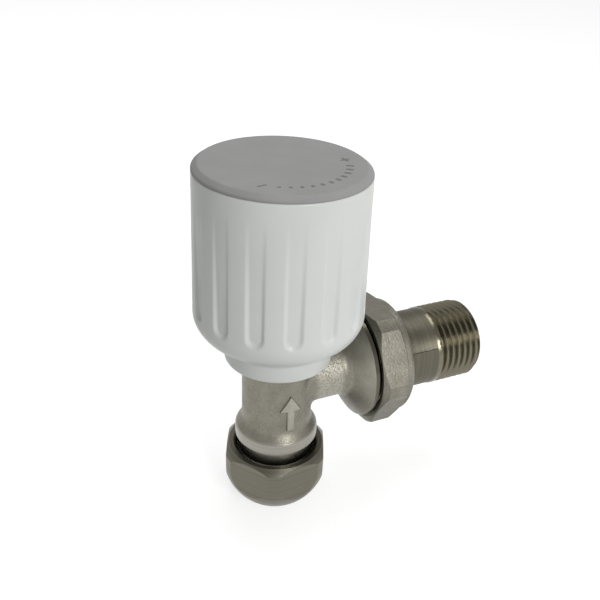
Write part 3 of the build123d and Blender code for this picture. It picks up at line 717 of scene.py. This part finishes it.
def bar(bm, across, angle, turn, length, width, lift=0.0):
    """One printed bar of the dial, lying on the grey disc."""
    made = bmesh.ops.create_cube(bm, size=1.0)["verts"]
    bmesh.ops.scale(bm, verts=made, vec=(length, width, INK_HEIGHT))
    upright = [edge for edge in {edge for vert in made for edge in vert.link_edges}
               if abs(edge.verts[0].co.z - edge.verts[1].co.z) > INK_HEIGHT / 2]
    corner = min(length, width) * INK_ROUND
    rounded = bmesh.ops.bevel(bm, geom=upright, offset=corner, affect="EDGES", segments=3, profile=0.5,
                              material=-1)
    block = [vert for vert in set(made) | set(rounded["verts"]) if vert.is_valid]
    bmesh.ops.rotate(bm, verts=block, cent=(0, 0, 0), matrix=Matrix.Rotation(turn, 3, "Z"))
    place = (across * cos(angle), across * sin(angle), DISC_TOP - INK_SINK + lift)
    bmesh.ops.translate(bm, verts=block, vec=place)


def make_dial():
    """Printed setting scale: minus, eleven bars growing towards plus, and plus."""
    bm = bmesh.new()
    for index in range(SCALE_BARS):
        angle = SCALE_START + SCALE_STEP * index
        bar(bm, SCALE_RADIUS, angle, angle, BAR_SHORTEST + BAR_GROWTH * index, BAR_WIDTH)
    bar(bm, MINUS_RADIUS, MINUS_ANGLE, SCALE_READING, MINUS_LENGTH, SIGN_WIDTH)
    for turn, lift in ((0.0, 0.0), (pi / 2, PLUS_LIFT)):
        bar(bm, PLUS_RADIUS, PLUS_ANGLE, SCALE_READING + turn, PLUS_LENGTH, SIGN_WIDTH, lift)
    bmesh.ops.recalc_face_normals(bm, faces=bm.faces)
    piece("setting_scale", bm, scale_ink, "handwheel")


def make_flow_arrow():
    """Raised flow arrow on the front of the stem."""
    bm = bmesh.new()
    face = bm.faces.new([bm.verts.new((x * MM, 0.0, z * MM)) for x, z in ARROW_OUTLINE])
    lifted = bmesh.ops.extrude_face_region(bm, geom=[face])
    moved = [item for item in lifted["geom"] if isinstance(item, bmesh.types.BMVert)]
    bmesh.ops.translate(bm, verts=moved, vec=(0, -ARROW_THICKNESS, 0))
    bmesh.ops.recalc_face_normals(bm, faces=bm.faces)
    ridge = [edge for edge in bm.edges if all(vert.co.y < -ARROW_THICKNESS / 2 for vert in edge.verts)]
    bmesh.ops.bevel(bm, geom=ridge, offset=ARROW_ROUND, affect="EDGES", segments=3, profile=0.5, material=-1)
    for index in range(-ARROW_CUTS, ARROW_CUTS + 1):
        geom = bm.verts[:] + bm.edges[:] + bm.faces[:]
        cut = (index * ARROW_CUT_STEP, 0, 0)
        bmesh.ops.bisect_plane(bm, geom=geom, dist=FINE, plane_co=cut, plane_no=(1, 0, 0))
    for vert in bm.verts:
        turn = ARROW_TURN + vert.co.x / STEM_RADIUS
        across = STEM_RADIUS - ARROW_SINK - vert.co.y
        vert.co.x, vert.co.y = across * cos(turn), across * sin(turn)
    bmesh.ops.recalc_face_normals(bm, faces=bm.faces)
    shade_by_angle(bm, ARROW_CREASE)
    piece("flow_arrow", bm, raised_nickel, "body")


make_valve_body()
make_handwheel()
make_tailpiece()
make_dial()
make_flow_arrow()


def white_ground():
    """White to the eye and in reflections, with the shadow of the object on it."""
    made = bpy.data.materials.new("white_floor")
    made.use_nodes = True
    tree = made.node_tree
    tree.nodes.clear()
    path = tree.nodes.new("ShaderNodeLightPath").outputs
    seen = sums(tree, "MAXIMUM", path["Is Camera Ray"], path["Is Glossy Ray"])
    seen = sums(tree, "MAXIMUM", seen, path["Is Transmission Ray"])
    matt = add(tree, "ShaderNodeBsdfDiffuse", {"Color": FLOOR_SHADE}).outputs[0]
    lit = add(tree, "ShaderNodeEmission", {"Color": FLOOR_GLOW, "Strength": 1.0}).outputs[0]
    both = add(tree, "ShaderNodeAddShader", {0: matt, 1: lit}).outputs[0]
    mixed = add(tree, "ShaderNodeMixShader", {0: seen, 1: matt, 2: both}).outputs[0]
    out = tree.nodes.new("ShaderNodeOutputMaterial")
    tree.links.new(mixed, out.inputs["Surface"])
    return made


def make_ground():
    """The plain floor that the valve stands on."""
    bm = bmesh.new()
    bmesh.ops.create_grid(bm, x_segments=2, y_segments=2, size=FLOOR_HALF)
    mesh = bpy.data.meshes.new("floor")
    bm.to_mesh(mesh)
    bm.free()
    mesh.materials.append(white_ground())
    floor = bpy.data.objects.new("floor", mesh)
    scene.collection.objects.link(floor)


def lamp(name, side, height, size, power):
    """A soft square lamp that looks at the valve from a compass angle and a height angle in degrees."""
    data = bpy.data.lights.new(name, "AREA")
    data.shape = "SQUARE"
    data.size = size
    data.energy = power
    made = bpy.data.objects.new(name, data)
    flat = cos(radians(height))
    reach = Vector((cos(radians(side)) * flat, sin(radians(side)) * flat, sin(radians(height))))
    made.location = LAMP_AIM + reach * LAMP_AWAY
    made.rotation_euler = reach.to_track_quat("Z", "Y").to_euler()
    scene.collection.objects.link(made)


make_ground()
lamp("key_lamp", side=-84.0, height=26.0, size=0.3, power=2.6)
lamp("top_lamp", side=60.0, height=75.0, size=0.5, power=2.2)


def make_room():
    """A pale grey room, brightest along the horizon, whose soft light is dimmer from the left."""
    room = bpy.data.worlds.new("grey_room")
    room.use_nodes = True
    tree = room.node_tree
    way = tree.nodes.new("ShaderNodeTexCoord").outputs["Generated"]
    overhead = rise(tree, along(tree, way, 2), 0.1, 0.9, HORIZON_LIGHT, OVERHEAD_LIGHT)
    leftward = sums(tree, "MULTIPLY", along(tree, way, 0), -1.0)
    path = tree.nodes.new("ShaderNodeLightPath").outputs
    dimming = rise(tree, leftward, -0.1, 0.9, 0.0, LEFT_DIMMING)
    dim = sums(tree, "MULTIPLY", dimming, path["Is Diffuse Ray"])
    level = sums(tree, "MULTIPLY", overhead, sums(tree, "SUBTRACT", 1.0, dim))
    tree.links.new(level, tree.nodes["Background"].inputs["Color"])
    tree.nodes["Background"].inputs["Strength"].default_value = 1.0
    scene.world = room


make_room()


def make_camera():
    """The photograph's camera: its turn, height, roll, distance, focal length and shift."""
    flat = cos(CAMERA_HEIGHT)
    back = Vector((sin(CAMERA_TURN) * flat, -cos(CAMERA_TURN) * flat, sin(CAMERA_HEIGHT)))
    level = Vector((cos(CAMERA_TURN), sin(CAMERA_TURN), 0.0))
    upward = back.cross(level)
    right = cos(CAMERA_ROLL) * level + sin(CAMERA_ROLL) * upward
    up = cos(CAMERA_ROLL) * upward - sin(CAMERA_ROLL) * level
    data = bpy.data.cameras.new("photo_camera")
    data.sensor_width = 36.0
    data.lens = 45.6
    data.shift_x = -0.05424
    data.shift_y = 0.08159
    data.clip_start = 0.01
    data.clip_end = 20.0
    made = bpy.data.objects.new("photo_camera", data)
    place = CAMERA_AIM + back * CAMERA_AWAY
    made.matrix_world = Matrix((
        (right.x, up.x, back.x, place.x),
        (right.y, up.y, back.y, place.y),
        (right.z, up.z, back.z, place.z),
        (0.0, 0.0, 0.0, 1.0)))
    scene.collection.objects.link(made)
    scene.camera = made


make_camera()
